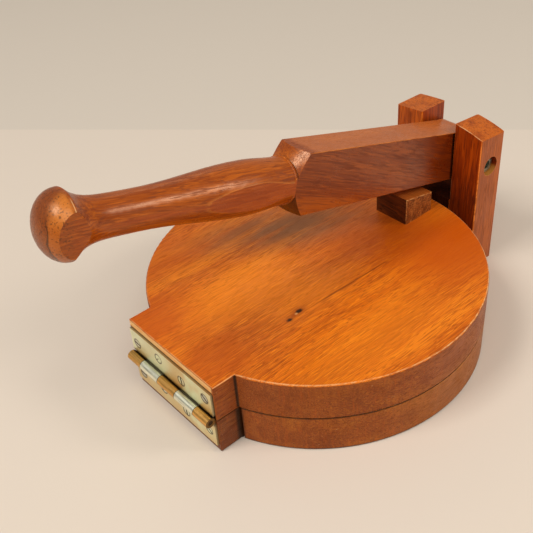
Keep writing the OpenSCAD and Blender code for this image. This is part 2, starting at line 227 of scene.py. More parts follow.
class MetalLook(bpy.types.PropertyGroup):
    """Brass-plated hinge, its screws and the steel fasteners."""
    leaf: tone("Upper leaf", "Pale greenish gold of the upper leaf", (0.90, 0.94, 0.66))
    low_leaf: tone("Lower leaf", "Golden tan of the lower leaf", (0.80, 0.64, 0.33))
    gold: tone("Gold knuckles", "Golden brown of the lower leaf's knuckles", (0.86, 0.47, 0.13))
    silver: tone("Silver knuckles", "Silvery green of the upper leaf's knuckles", (1.0, 1.0, 0.80))
    # Tarnish, and also the painted shade round the barrel and on the knuckles' lower and back
    # sides.
    tarnish_and_shade: tone("Tarnish", "Brown dirt in corners and along edges", (0.05, 0.025, 0.008))
    screw: tone("Leaf screws", "Dull metal of the leaf screws", (0.62, 0.60, 0.50))
    steel: tone("Steel", "Zinc-plated steel of bolt, nut and washers", (0.34, 0.36, 0.30))
    patch: size("Patch size", "Size of the soft patches in the plating", 0.020)
    gloss: share("Roughness", "Roughness of the plating", 0.34)


class StageLook(bpy.types.PropertyGroup):
    """Floor, lights and camera."""
    floor: tone("Floor", "Colour of the floor", (0.74, 0.65, 0.56))
    beyond: tone("Far floor", "Colour of the floor past the tone line", (0.68, 0.61, 0.53))
    air: tone("Air", "Colour of the light from all round", (1.0, 0.95, 0.88))
    air_power: bpy.props.FloatProperty(
        name="Air strength", description="Strength of the light from all round", default=0.30,
        min=0, max=5)
    front_power: power("Front power", "Power of the large soft light over the near side", 20.0)
    left_power: power("Left power", "Power of the soft light high on the left", 24.0)
    right_power: power("Right power", "Power of the small soft light low on the right", 9.5)
    back_power: power("Back power", "Power of the small soft light behind the posts", 1.6)
    lens: bpy.props.FloatProperty(
        name="Lens", description="Focal length on a 36 mm sensor, in millimetres",
        default=55.946, min=10, max=200)
    floor_size: size("Floor size", "Width of the square floor", 6.0, 20)


LOOKS = {
    "press_plates": PlateLook,
    "press_posts": PostLook,
    "press_block": BlockLook,
    "press_lever": LeverLook,
    "press_metal": MetalLook,
    "press_stage": StageLook,
}


# Laying out a finish ------------------

# How the nodes stand in the editor.
COLUMN, ROW, NODES_IN_ROW = 220, 260, 24
# From none to full: how squarely a face has to look along an axis to count as facing it.
FACING = (0.75, 0.92)
# Every board: how far its grain strays, and over what length.
GRAIN_STRAY, STRAY_SIZE = 0.012, 0.045
# Pores and fibres: the scales that draw them out along the grain, and spacing in pore widths.
PORE_SCALE, BREAK_SCALE, PORE_SPACING = 0.055, 0.10, 2.2
FIBRE_SCALE, FIBRE_SPACING = 0.030, 1.5
# Growth rings: how ragged they are, in rings, and how sharply each one ends.
RING_RAGGED, RING_SHARPNESS = 1.4, 3.0
# How strongly rings and gleams show, and how pores and fibres lie in the lacquer.
RING_DEPTH, GLEAM_DEPTH = 0.16, 0.8
PORE_HEIGHT, FIBRE_HEIGHT, PORE_ROUGHNESS = -1.0, -0.8, 0.15
WEAR_SIZE, WEAR_ROUGHNESS = 0.018, (-0.05, 0.07)
LACQUER_TINT = (1.0, 0.74, 0.52, 1)
# Roughness where the wood is so deep in shade that its lacquer doesn't show.
DULL = 0.95


def scaled(colour, by):
    """A colour made brighter or darker."""
    return [min(1.0, by * channel) for channel in colour]


class Finish:
    """One finish: a material whose nodes are laid out from left to right."""

    def __init__(self, name):
        self.material = bpy.data.materials.new(name)
        self.material.use_nodes = True
        self.tree = self.material.node_tree
        self.tree.nodes.clear()
        place = self.node("ShaderNodeTexCoord")
        self.place = place.outputs["Object"]
        self.facing = place.outputs["Normal"]
        self.x, self.y, self.z = self.parts(self.place)
        self.to_x, self.to_y, self.to_z = self.parts(self.facing)

    def node(self, kind, sockets=None, **settings):
        """Adds a node. A socket is given a number, a colour, or another node's output."""
        node = self.tree.nodes.new(kind)
        row, column = divmod(len(self.tree.nodes), NODES_IN_ROW)
        node.location = (COLUMN * column, -ROW * row)
        for name, value in settings.items():
            setattr(node, name, value)
        for name, value in (sockets or {}).items():
            self.plug(node, name, value)
        return node

    def plug(self, node, name, value):
        """Links a socket to another node's output, or sets it to a number or colour."""
        if isinstance(value, bpy.types.NodeSocket):
            self.tree.links.new(value, node.inputs[name])
        else:
            node.inputs[name].default_value = value

    def math(self, kind, *values):
        """A sum on one, two or three numbers."""
        return self.node("ShaderNodeMath", dict(enumerate(values)), operation=kind).outputs[0]

    def plus(self, one, other):
        """One number and another together."""
        return self.math("ADD", one, other)

    def minus(self, one, other):
        """One number less another."""
        return self.math("SUBTRACT", one, other)

    def times(self, one, other):
        """One number times another."""
        return self.math("MULTIPLY", one, other)

    def larger(self, one, other):
        """The larger of two numbers."""
        return self.math("MAXIMUM", one, other)

    def unsigned(self, value):
        """A number without its sign."""
        return self.math("ABSOLUTE", value)

    def opposite(self, amount):
        """What is left of an amount."""
        return self.minus(1.0, amount)

    def both(self, *shares):
        """Where all of the shares hold."""
        result = shares[0]
        for other in shares[1:]:
            result = self.times(result, other)
        return result

    def vector(self, kind, *values):
        """A sum on vectors."""
        node = self.node("ShaderNodeVectorMath", dict(enumerate(values)), operation=kind)
        return node.outputs[0]

    def length(self, vector):
        """How long a vector is."""
        return self.node("ShaderNodeVectorMath", {0: vector}, operation="LENGTH").outputs["Value"]

    def parts(self, vector):
        """The three numbers of a vector."""
        return self.node("ShaderNodeSeparateXYZ", {0: vector}).outputs

    def joined(self, x, y, z):
        """A vector from three numbers."""
        return self.node("ShaderNodeCombineXYZ", {0: x, 1: y, 2: z}).outputs[0]

    def aligned(self, place, origin, turn):
        """The place as measured on a board that lies at origin and is turned."""
        return self.node("ShaderNodeMapping",
                         {"Vector": place, "Location": origin, "Rotation": turn},
                         vector_type="TEXTURE").outputs[0]

    def step(self, value, start, end, least=0.0, most=1.0):
        """Goes smoothly from least to most as value goes from start to end."""
        return self.node(
            "ShaderNodeMapRange",
            {"Value": value, "From Min": start, "From Max": end, "To Min": least, "To Max": most},
            interpolation_type="SMOOTHSTEP").outputs[0]

    def band(self, value, centre, width, soft):
        """1 on a band of the given width round a centre value."""
        off = self.unsigned(self.minus(value, centre))
        return self.step(off, width / 2 + soft, width / 2)

    def spot(self, centre, reach, core=0.2, place=None):
        """1 round a point, fading to 0 at the given reach along x, y and z."""
        away = self.vector("DIVIDE", self.vector("SUBTRACT", place or self.place, centre), reach)
        return self.step(self.length(away), 1.0, core)

    def faces(self, towards, way):
        """1 where the surface faces along an axis, towards + or -."""
        return self.step(self.times(towards, way), *FACING)

    def noise(self, place, feature, detail=2.0, rough=0.5):
        """Cloudy noise with features of about the given size."""
        return self.node(
            "ShaderNodeTexNoise",
            {"Vector": place, "Scale": 1 / feature, "Detail": detail, "Roughness": rough},
            ).outputs["Fac"]

    def streaked(self, scale, feature, detail, rough):
        """Noise drawn out into streaks. The scale is smallest along the streaks."""
        return self.noise(self.vector("MULTIPLY", self.place, scale), feature, detail, rough)

    def mix(self, amount, one, other, kind="MIX"):
        """Goes from one colour to another, or lays the other over the one."""
        node = self.node("ShaderNodeMix", {0: amount}, data_type="RGBA", blend_type=kind)
        for index, colour in ((6, one), (7, other)):
            linked = isinstance(colour, bpy.types.NodeSocket)
            self.plug(node, index, colour if linked else (*colour, 1))
        return node.outputs[2]

    def tint(self, colour, *shares):
        """Lays a colour over the finish where all of the shares hold."""
        self.colour = self.mix(self.both(*shares), self.colour, colour)

    def stain(self, colour, *shares):
        """Darkens the finish there as a stain does, which lets its figure show. It lays painted
        shade too.
        """
        self.colour = self.mix(self.both(*shares), self.colour, colour, "MULTIPLY")

    def close(self, colour, roughness, height, relief, **shader):
        """Joins colour, roughness and relief to the shader."""
        bump = self.node("ShaderNodeBump",
                         {"Height": height, "Distance": relief, "Strength": 1.0})
        surface = self.node("ShaderNodeBsdfPrincipled",
                            {"Base Color": colour, "Roughness": roughness,
                             "Normal": bump.outputs[0],
                             **{name.replace("_", " "): value for name, value in shader.items()}})
        self.node("ShaderNodeOutputMaterial", {"Surface": surface.outputs[0]})
        return self.material


class Wood(Finish):
    """A lacquered board. Its own x axis runs along the grain.

    The figure is as many times longer than wide as along says. From lean_from on, the grain
    slopes by lean.
    """

    def __init__(self, name, look, origin, turn, pith, along=9.0, lean=0.0, lean_from=0.0):
        super().__init__(name)
        self.look = look
        self.shine = look.shine
        self.dull = 0.0
        self.board = self.aligned(self.place, origin, turn)
        if lean:
            x, y, z = self.parts(self.board)
            drop = self.times(self.larger(x, lean_from), lean)
            self.board = self.joined(x, y, self.plus(z, drop))
        drift = self.noise(self.vector("MULTIPLY", self.board, (0.25, 1, 1)), STRAY_SIZE, 1)
        stray = self.vector("MULTIPLY", self.vector("SUBTRACT", drift, (0.5, 0.5, 0.5)),
                            (0, GRAIN_STRAY, GRAIN_STRAY))
        self.grain = self.vector("ADD", self.board, stray)
        self.long_grain = self.vector("MULTIPLY", self.grain, (1 / along, 1, 1))
        self.pore_flecks()
        self.growth_rings(pith)
        self.colour = self.tones()

    def pore_flecks(self):
        """Fine broken pore lines with a bright flank, and the fibres between them."""
        pore = self.look.pore
        field, broken = [self.drawn_out(scale, PORE_SPACING * pore, 1)
                         for scale in (PORE_SCALE, BREAK_SCALE)]
        self.pores = self.both(self.band(field, 0.5, 0.04, 0.04), self.step(broken, 0.33, 0.47))
        self.gleams = self.both(self.band(field, 0.60, 0.05, 0.04), self.step(broken, 0.60, 0.50))
        self.fibres = self.drawn_out(FIBRE_SCALE, FIBRE_SPACING * pore, 3, 0.7)

    def growth_rings(self, pith):
        """Growth rings round a pith line that runs beside the board."""
        _, y, z = self.parts(self.vector("SUBTRACT", self.grain, (0, *pith)))
        out = self.length(self.joined(0.0, y, z))
        ragged = self.times(self.noise(self.long_grain, 0.006, 2), RING_RAGGED)
        turns = self.plus(self.math("DIVIDE", out, self.look.ring), ragged)
        self.rings = self.math("POWER", self.math("FRACT", turns), RING_SHARPNESS)

    def tones(self):
        """Broad figure, rings, fibres and pores laid over one another."""
        look = self.look
        figure = self.noise(self.long_grain, look.figure, 3, 0.55)
        colour = self.mix(self.step(figure, 0.36, 0.56, 0.65, 1.0), look.deep, look.middle)
        for amount, over in (
                (self.step(figure, 0.48, 0.68, 0, 0.65), look.bright),
                (self.times(self.rings, RING_DEPTH), look.deep),
                (self.step(self.fibres, 0.50, 0.66, 0, look.fibre), look.deep),
                (self.step(self.fibres, 0.50, 0.34, 0, look.fibre), look.bright),
                (self.times(self.gleams, GLEAM_DEPTH * look.pores), scaled(look.bright, 1.15)),
                (self.times(self.pores, look.pores), scaled(look.deep, 0.70))):
            colour = self.mix(amount, colour, over)
        return colour

    def drawn_out(self, scale, feature, detail, rough=0.5):
        """Noise drawn out along the grain, the more so the smaller the scale."""
        place = self.vector("MULTIPLY", self.grain, (scale, 1, 1))
        return self.noise(place, feature, detail, rough)

    def ragged(self, feature, start, end):
        """A broken share for worn places."""
        return self.step(self.noise(self.place, feature, 3, 0.7), start, end)

    def box_edges(self, *towards):
        """1 on the rounded edges of a squared piece, which face along none of its axes."""
        x, y, z = map(self.unsigned, towards or (self.to_x, self.to_y, self.to_z))
        return self.step(self.larger(x, self.larger(y, z)), 0.97, 0.80)

    def end_grain(self, amount):
        """Dark pores and short rings where the grain ends at the surface."""
        holes = self.noise(self.place, 0.0012, 3, 0.7)
        clouds = self.noise(self.place, 0.006, 4, 0.7)
        self.tint(self.look.deep, amount, self.step(clouds, 0.45, 0.65, 0, 0.6))
        self.tint(scaled(self.look.deep, 0.4), amount, self.step(holes, 0.54, 0.68, 0, 0.7))

    def done(self):
        """Closes the wood under its lacquer."""
        worn = self.noise(self.place, WEAR_SIZE, 3, 0.6)
        roughness = self.plus(self.step(worn, 0.3, 0.7, *WEAR_ROUGHNESS),
                              self.plus(self.look.gloss, self.times(self.pores, PORE_ROUGHNESS)))
        height = self.plus(self.times(self.pores, PORE_HEIGHT),
                           self.times(self.fibres, FIBRE_HEIGHT))
        return self.close(self.colour, self.larger(roughness, self.dull), height,
                          self.look.relief, Specular_IOR_Level=self.shine,
                          Specular_Tint=LACQUER_TINT)


# Plates -------------------------------

# The lower plate is cut from further along the same board.
PLATE_PITH, NEXT_CUT = (0.01, -0.055), 0.37
# Zones of the upper face: place along and across, half length, half width and strength.
# The first golden zone is a painted sheen of the lacquer; the others are tone of the wood.
GOLDEN_AND_SHEEN_ZONES = ((-0.045, 0.012, 0.065, 0.030, 0.50),
                (-0.022, -0.018, 0.050, 0.022, 0.35),
                (-0.020, -0.070, 0.080, 0.030, 0.35),
                (0.084, -0.018, 0.022, 0.014, 0.40))
RED_ZONES = ((0.050, 0.002, 0.060, 0.036, 0.60),
             (0.070, -0.045, 0.070, 0.050, 0.90),
             (-0.100, 0.028, 0.040, 0.034, 0.65),
             (-0.092, -0.020, 0.034, 0.026, 0.50),
             (-0.060, 0.070, 0.060, 0.026, 0.50))
# Painted shade on the upper face beside the block.
BLOCK_SHADE_ZONE = (0.052, -0.018, 0.044, 0.024, 0.40)
ZONE_DEPTH = 0.02
# Painted shadow of the lever on the upper face: its middle, its turn and its reach.
LEVER_SHADOW_AT, LEVER_SHADOW_TURN = (0.014, 0.039, LID_TOP), (0, 0, radians(-29))
LEVER_SHADOW_REACH = (0.084, 0.033, ZONE_DEPTH)
VEIN_SLOPE, VEIN_AT, VEIN_WIDTH = 0.035, -0.0272, 0.0003
# The knot: the two dark hearts with their sizes, and the two zones between them.
KNOT_HEARTS = ((-0.0359, -0.0250, 1.0), (-0.0446, -0.0268, 0.8))
KNOT_BRIDGE = (-0.0405, -0.0259, 0.0034, 0.0018, 0.7)
KNOT_MIDDLE = (-0.0385, -0.0256, 0.0014, 0.0010, 0.6)
KNOT_DEPTH = 0.004
KNOT_DARK = (0.030, 0.008, 0.002)
# Sides of both plates.
TAB_SHADE = (0.45, 0.45, 0.60)
SEAM_DARK, SEAM_WORN = (0.020, 0.006, 0.001), (0.090, 0.022, 0.004)
LIP_GOLD, SIDE_GOLD = (0.75, 0.31, 0.07), (0.55, 0.20, 0.02)
# Painted contact shadow along the foot, and painted shade in the inner corners.
FOOT_SHADOW, PAINTED_CORNER_SHADE = (0.030, 0.010, 0.003), (0.012, 0.004, 0.001)
# How far the painted shade reaches out of the inner corners of the upper and lower plate.
UPPER_SHADE_REACH, LOWER_SHADE_REACH = 0.0014, 0.0034
# End of the tab, round the hinge leaf, with painted shade over the leaf and beside its ends.
END_TONE, SHADE_ABOVE_LEAF, SHADE_BESIDE_LEAF = (0.34, 0.075, 0.006), (0.110, 0.045, 0.014), (0.02, 0.008, 0.003)


def plate_wood(name, look, shift, upper):
    """Board of a round plate: sides darker, rim pale from wear and a painted highlight."""
    wood = Wood(name, look, (shift, 0.4 * shift, 0), (0, 0, 0), PLATE_PITH)
    level = wood.unsigned(wood.to_z)
    if upper:
        top_zones(wood, look)
        knot(wood, look)
    upright = wood.step(level, 0.75, 0.25)
    plate_sides(wood, look, upright)
    seam(wood, upright, level)
    inner_corners(wood, upright, UPPER_SHADE_REACH if upper else LOWER_SHADE_REACH)
    if upper:
        worn_and_highlit_rim(wood, look, level)
        raw_strip(wood, look)
    return wood.done()


def zone(wood, x, y, long, wide, amount, colour, depth=ZONE_DEPTH):
    """A soft oval zone on the upper face."""
    wood.tint(colour, wood.spot((x, y, LID_TOP), (long, wide, depth)), amount)


def top_zones(wood, look):
    """Golden zones, one a painted sheen, reddish zones, painted shade of the lever and block, and
    a dark vein.
    """
    # The first of these zones is a painted sheen.
    for golden in GOLDEN_AND_SHEEN_ZONES:
        zone(wood, *golden, look.bright)
    for reddish in RED_ZONES:
        zone(wood, *reddish, look.red)
    # Painted shadow of the lever, broken up along the grain.
    under_lever = wood.aligned(wood.place, LEVER_SHADOW_AT, LEVER_SHADOW_TURN)
    dull = wood.spot((0, 0, 0), LEVER_SHADOW_REACH, 0.10, under_lever)
    streaks = wood.step(wood.noise(wood.long_grain, 0.007, 3, 0.6), 0.34, 0.60, 0.45, 0.90)
    wood.tint(look.shade, dull, streaks)
    # Painted shade beside the block.
    zone(wood, *BLOCK_SHADE_ZONE, look.deep)
    drift = wood.times(wood.noise(wood.place, 0.03, 1), 0.002)
    across = wood.plus(wood.plus(wood.y, drift), wood.times(wood.x, VEIN_SLOPE))
    vein = wood.band(across, VEIN_AT, VEIN_WIDTH, 2 * VEIN_WIDTH)
    wood.tint(scaled(look.deep, 0.5), vein, wood.step(wood.x, -0.030, -0.012, 0, 0.75),
              wood.step(wood.x, 0.040, 0.020))


def knot(wood, look):
    """Small dark knot with a paler middle, lying along the grain."""
    rough = wood.times(wood.noise(wood.place, 0.0015, 3, 0.7), 0.0018)
    for x, y, part in KNOT_HEARTS:
        away = wood.vector("MULTIPLY", wood.vector("SUBTRACT", wood.place, (x, y, LID_TOP)),
                           (1, 1.7, 1))
        far = wood.plus(wood.length(away), rough)
        reach = 0.5 * look.knot_size * part
        wood.tint(look.deep, wood.step(far, 3.0 * reach, reach, 0, 0.55))
        wood.tint(KNOT_DARK, wood.step(far, reach + 0.0012, reach * 0.7))
    zone(wood, *KNOT_BRIDGE, look.deep, KNOT_DEPTH)
    zone(wood, *KNOT_MIDDLE, look.raw, KNOT_DEPTH)


def plate_sides(wood, look, upright):
    """Darker tint, blotches, streaks and pale flecks of the upright sides."""
    wood.stain(look.side, upright)
    tab = wood.step(wood.x, NOTCH.x + 0.001, NOTCH.x - 0.001)
    below = wood.step(wood.z, PLATE_T + 0.0005, PLATE_T - 0.0005, 0.0, 0.70)
    wood.stain(TAB_SHADE, upright, tab, below)
    streaks = wood.streaked((1, 1, 0.14), 0.0013, 2, 0.6)
    blotches = wood.noise(wood.place, 0.009, 4, 0.65)
    flecks = wood.noise(wood.place, 0.0016, 3, 0.75)
    for marks, start, end, amount, colour in (
            (blotches, 0.40, 0.70, 0.42, scaled(look.deep, 0.45)),
            (streaks, 0.52, 0.72, 0.25, scaled(look.deep, 0.5)),
            (streaks, 0.46, 0.28, 0.20, look.red),
            (flecks, 0.66, 0.74, 0.35, look.dust)):
        wood.tint(colour, upright, wood.step(marks, start, end, 0, amount))


def seam(wood, upright, level):
    """Dark line between the plates, the worn golden lip under it, and a painted contact shadow
    along the foot.
    """
    line = wood.both(wood.band(wood.z, PLATE_T + 0.00015, 0.0008, 0.0004),
                     wood.step(level, 0.985, 0.95))
    worn = wood.both(wood.step(wood.x, -0.030, 0.045), wood.step(wood.y, 0.0, -0.02, 0.3, 1.0))
    wood.tint(SEAM_DARK, line, 0.9)
    wood.tint(SEAM_WORN, line, worn, 0.5)
    lip = wood.both(upright, wood.band(wood.z, PLATE_T - 0.0008, 0.0005, 0.0003), worn)
    wood.tint(LIP_GOLD, lip, wood.ragged(0.006, 0.30, 0.55), 0.6)
    golden = wood.both(wood.step(wood.z, PLATE_T, PLATE_T - 0.001),
                       wood.step(wood.x, -0.045, 0.0, 0, 0.22))
    wood.tint(SIDE_GOLD, upright, golden)
    # Painted contact shadow along the foot.
    wood.tint(FOOT_SHADOW, wood.step(wood.z, 0.0014, 0.0006, 0, 0.85))


def inner_corners(wood, upright, reach):
    """Painted shade in the two inner corners between the round and the tab."""
    inward = wood.joined(wood.minus(wood.x, NOTCH.x),
                         wood.minus(wood.unsigned(wood.y), NOTCH.y), 0.0)
    # Painted shade, strongest in the corner itself.
    dirt = wood.step(wood.length(inward), reach, 0.3 * reach)
    wood.tint(PAINTED_CORNER_SHADE, upright, dirt, 0.92)


def worn_and_highlit_rim(wood, look, level):
    """Thin pale line along the upper rim, strongest at the near side: partly wear, partly a
    painted highlight.
    """
    rim = wood.both(wood.step(level, 0.98, 0.85), wood.step(level, 0.10, 0.35),
                    wood.step(wood.z, LID_TOP - 0.00055, LID_TOP - 0.00030))
    near = wood.both(wood.step(wood.to_y, 0.3, -0.2, 0.2, 0.8),
                     wood.step(wood.x, -0.050, 0.040, 0.50, 1.0))
    wood.tint(look.edge, rim, near, wood.plus(0.15, wood.ragged(0.004, 0.35, 0.6)))


def raw_strip(wood, look):
    """Bare strip of wood over the hinge, with painted shade along the top of the leaf and beside
    its ends.
    """
    end = wood.both(wood.faces(wood.to_x, -1),
                    wood.step(wood.x, TAB_END + 0.0006, TAB_END + 0.0003))
    long = wood.both(end, wood.step(wood.y, -LEAF_SIDE - 0.0006, -LEAF_SIDE + 0.0008))
    streaks = wood.streaked((1, 0.1, 1), 0.0012, 3, 0.6)
    bare = wood.mix(wood.step(streaks, 0.45, 0.70, 0, 0.8), look.raw, look.bright)
    above = wood.both(wood.step(wood.z, LEAF_TOP + 0.0004, LEAF_TOP + 0.0009),
                      wood.step(wood.z, LID_TOP - 0.0005, LID_TOP - 0.0009))
    wood.tint(END_TONE, end)
    wood.tint(bare, long, above)
    # Painted shade in the gap over the leaf.
    wood.tint(SHADE_ABOVE_LEAF, long, wood.band(wood.z, LEAF_TOP, 0.0005, 0.0003))
    # Painted shade beside the ends of the leaf.
    behind = wood.step(wood.unsigned(wood.y), LEAF_SIDE + 0.0007, LEAF_SIDE + 0.0003)
    wood.tint(SHADE_BESIDE_LEAF, end, behind, wood.step(wood.z, LEAF_TOP, LEAF_TOP - 0.001))


# Posts and block ----------------------

# Where each board is cut from, how it is turned, and the pith beside it.
UPRIGHT_TURN, POST_PITH, POSTS_APART = (0, radians(-90), 0), (0.03, 0.02), 0.3
SPACER_CUT = (POST_FRONT, 0.1, 0.2)
BLOCK_CUT, BLOCK_TURN, BLOCK_PITH = (0.2, 0.1, 0.03), (0, 0, radians(90)), (-0.01, -0.012)
CREST_AT = POST_TOP - 0.0070
POST_LOW_SHADE, POST_GAP_SHADE = (0.62, 0.55, 0.50), (0.14, 0.10, 0.08)
# Tone of the post tops, and a pale crest line that is partly wear, partly a painted highlight.
POST_TOP_TONE, CREST_WEAR_AND_HIGHLIGHT = (0.58, 0.135, 0.012), (0.90, 0.52, 0.24)
BORE_DARK, BORE_LIT = (0.20, 0.022, 0.001), (0.50, 0.20, 0.035)
SPACER_SHADE = (0.09, 0.07, 0.06)
BLOCK_FRONT_SHADE, BLOCK_TOP_TONE = (0.30, 0.20, 0.10), (0.50, 0.115, 0.012)


def post_wood(name, look, side):
    """Upright board of a post, with its end grain at the top. Side is -1 near, 1 far."""
    wood = Wood(name, look, (POST_FRONT, side * POSTS_APART, 0), UPRIGHT_TURN, POST_PITH)
    front, near = wood.faces(wood.to_x, -1), wood.faces(wood.to_y, -1)
    if side < 0:
        wood.stain(look.front, front)
        # Painted sheen on the near post's outer side.
        wood.tint(look.side, near, 0.50)
        wood.stain(POST_LOW_SHADE, front, wood.step(wood.z, 0.080, 0.050))
    else:
        wood.stain(look.front, near)
        below_pivot = wood.step(wood.z, PIVOT.z + 0.004, PIVOT.z - 0.012)
        dark = wood.both(below_pivot, wood.plus(front, near))
        wood.stain(POST_GAP_SHADE, dark)
        wood.dull = wood.times(dark, DULL)
    top = wood.faces(wood.to_z, 1)
    wood.tint(POST_TOP_TONE, top, 0.7)
    wood.end_grain(top)
    bolt_hole(wood, look)
    edges = wood.both(wood.box_edges(), wood.step(wood.unsigned(wood.to_z), 0.5, 0.3))
    wood.tint(look.edge, edges, wood.plus(0.35, wood.ragged(0.005, 0.4, 0.6)))
    # Pale line on the crest of the front: partly wear, partly a painted highlight.
    crest = wood.both(wood.step(wood.x, POST_FRONT + 0.0010, POST_FRONT + 0.0004),
                      wood.step(wood.z, CREST_AT - 0.0005, CREST_AT + 0.0005),
                      wood.step(wood.to_z, 0.2, 0.6))
    wood.tint(CREST_WEAR_AND_HIGHLIGHT, crest, wood.ragged(0.003, 0.35, 0.6), 0.45 - 0.35 * side)
    return wood.done()


def bolt_hole(wood, look):
    """Worn lip and lit and shaded walls of the counterbore."""
    x, y, z = wood.parts(wood.vector("SUBTRACT", wood.place, PIVOT))
    out = wood.length(wood.joined(x, 0.0, z))
    outside = wood.step(wood.unsigned(y), -POST_SIDE - 0.0004, -POST_SIDE - 0.0001)
    wood.tint(look.edge, wood.band(out, BORE_RADIUS, 0.0003, 0.0002), outside, 0.5)
    inside = wood.step(out, BORE_RADIUS + 0.00010, BORE_RADIUS - 0.00005)
    wood.tint(BORE_DARK, inside)
    wood.tint(BORE_LIT, inside, wood.step(z, -0.001, -0.004))


def spacer_wood(name, look):
    """Plain board between the feet of the posts, dark where they shade it."""
    wood = Wood(name, look, SPACER_CUT, UPRIGHT_TURN, POST_PITH)
    top = wood.faces(wood.to_z, 1)
    wood.end_grain(top)
    dark = wood.larger(wood.faces(wood.to_x, -1), top)
    wood.stain(SPACER_SHADE, dark)
    wood.dull = wood.times(dark, DULL)
    wood.shine = 0.25 * look.shine
    return wood.done()


def block_wood(name, look):
    """Block whose grain runs across the press."""
    wood = Wood(name, look, BLOCK_CUT, BLOCK_TURN, BLOCK_PITH)
    wood.end_grain(wood.plus(wood.faces(wood.to_y, -1), wood.faces(wood.to_y, 1)))
    wood.stain(BLOCK_FRONT_SHADE, wood.faces(wood.to_x, -1))
    wood.tint(BLOCK_TOP_TONE, wood.faces(wood.to_z, 1), 0.6)
    wood.tint(look.edge, wood.box_edges(), wood.ragged(0.003, 0.42, 0.6), 0.7)
    return wood.done()


# Lever --------------------------------

LEVER_TURN, LEVER_PITH = (0, LEVER_TILT, 0), (0.02, -0.03)
TAIL_SHADE, LEVER_TOP_TONE = (0.62, 0.48, 0.30), (0.70, 0.20, 0.045)
# Painted shade where the lever runs into the slot, and the dark groove.
SLOT_SHADE, GROOVE_DARK = (0.010, 0.003, 0.001), (0.06, 0.014, 0.002)
FLAT_TONE, SHOULDER_DARK = (0.34, 0.045, 0.003), (0.035, 0.007, 0.001)
UNDERSIDE_SHADE = (0.50, 0.36, 0.28)
KNOB_BROWN, KNOB_PORES = (0.20, 0.046, 0.007), (0.04, 0.010, 0.002)
# Flame tones: the paler one, high on the knob, is partly a painted highlight.
FLAME_LOW, PALE_FLAME_AND_HIGHLIGHT = (0.52, 0.125, 0.009), (0.74, 0.235, 0.035)
# Dark line of the flame, and a painted highlight along the knob's ridge.
FLAME_LINE, RIDGE_HIGHLIGHT = (0.03, 0.008, 0.001), (0.90, 0.55, 0.26)
# The flame: how far from the lever's middle it starts, and is full, low and high on the knob.
FLAME_START, FLAME_FULL_LOW, FLAME_FULL_HIGH = 0.0090, (0.0100,) * 3, (0.0160,) * 3
KNOB_PORE_SIZE = 0.0009
# Heights between which the shade under the shoulder comes in.
SHOULDER_SHADE_TOP, SHOULDER_SHADE_FULL = 0.1155, 0.1080


def lever_wood(name, look):
    """Lever board: leaning grain and dull sides on the sawn part, turned handle with two flats."""
    wood = Wood(name, look, PIVOT, LEVER_TURN, LEVER_PITH, 7.0, look.lean, FLATS_AT)
    x, y, z = wood.parts(wood.aligned(wood.place, PIVOT, LEVER_TURN))
    to_x, to_y, to_z = wood.parts(wood.aligned(wood.facing, (0, 0, 0), LEVER_TURN))
    flat = wood.step(wood.unsigned(to_y), 0.985, 0.997)
    sawn = wood.step(x, FLATS_AT - 0.0002, FLATS_AT + 0.0004)
    sides = wood.both(flat, sawn)
    wood.stain(look.stock, sides, wood.step(z, -0.013, 0.004, 0.50, 0.90),
               wood.step(x, -0.02, -0.05, 0.6, 1.0))
    wood.stain(TAIL_SHADE, sides, wood.step(x, -0.075, -0.015))
    top = wood.both(wood.step(to_z, 0.8, 0.95), sawn,
                    wood.step(x, CHAMFER_AT - 0.002, CHAMFER_AT + 0.004))
    wood.tint(LEVER_TOP_TONE, top, 0.45)
    # Pale upper edges of the sawn part: partly wear, partly a painted highlight.
    edges = wood.both(wood.box_edges(to_x, to_y, to_z),
                      wood.step(x, CHAMFER_AT - 0.004, CHAMFER_AT), wood.step(z, 0.0, 0.01))
    wood.tint(look.edge, edges, wood.ragged(0.006, 0.3, 0.6), 0.7)
    # Painted shade on the lever where it runs into the slot between the posts.
    slot = wood.both(wood.step(wood.x, POST_FRONT - 0.0012, POST_FRONT - 0.0004), flat)
    wood.tint(SLOT_SHADE, slot, 0.9)
    round_part = wood.opposite(flat)
    handle_marks(wood, look, x, y, flat, round_part, wood.opposite(sawn))
    knob_marks(wood, x, wood.times(y, -1.0), z, flat, round_part)
    return wood.done()


def handle_marks(wood, look, x, y, flat, round_part, turned):
    """Darker flats with a fine pale outline, the groove, and the shade under the handle."""
    wood.tint(FLAT_TONE, flat, turned, wood.step(x, NECK_AT - 0.022, NECK_AT, 0.05, 0.45))
    outline = wood.both(wood.step(wood.unsigned(y), FLAT_SIDE - 0.0005, FLAT_SIDE - 0.0001),
                        round_part, turned)
    wood.tint(look.edge, outline, wood.step(x, NECK_AT - 0.020, NECK_AT, 0.10, 0.28))
    groove = wood.both(wood.band(x, GROOVE_AT, 0.0004, 0.0006), round_part)
    wood.tint(GROOVE_DARK, groove, 0.6)
    under = wood.both(wood.step(wood.z, SHOULDER_SHADE_TOP, SHOULDER_SHADE_FULL),
                      wood.band(x, SHOULDER_AT, 0.008, 0.002), round_part)
    wood.tint(SHOULDER_DARK, under, 0.85)
    wood.stain(UNDERSIDE_SHADE, wood.step(wood.to_z, 0.0, -0.7, 0, 0.55), turned)


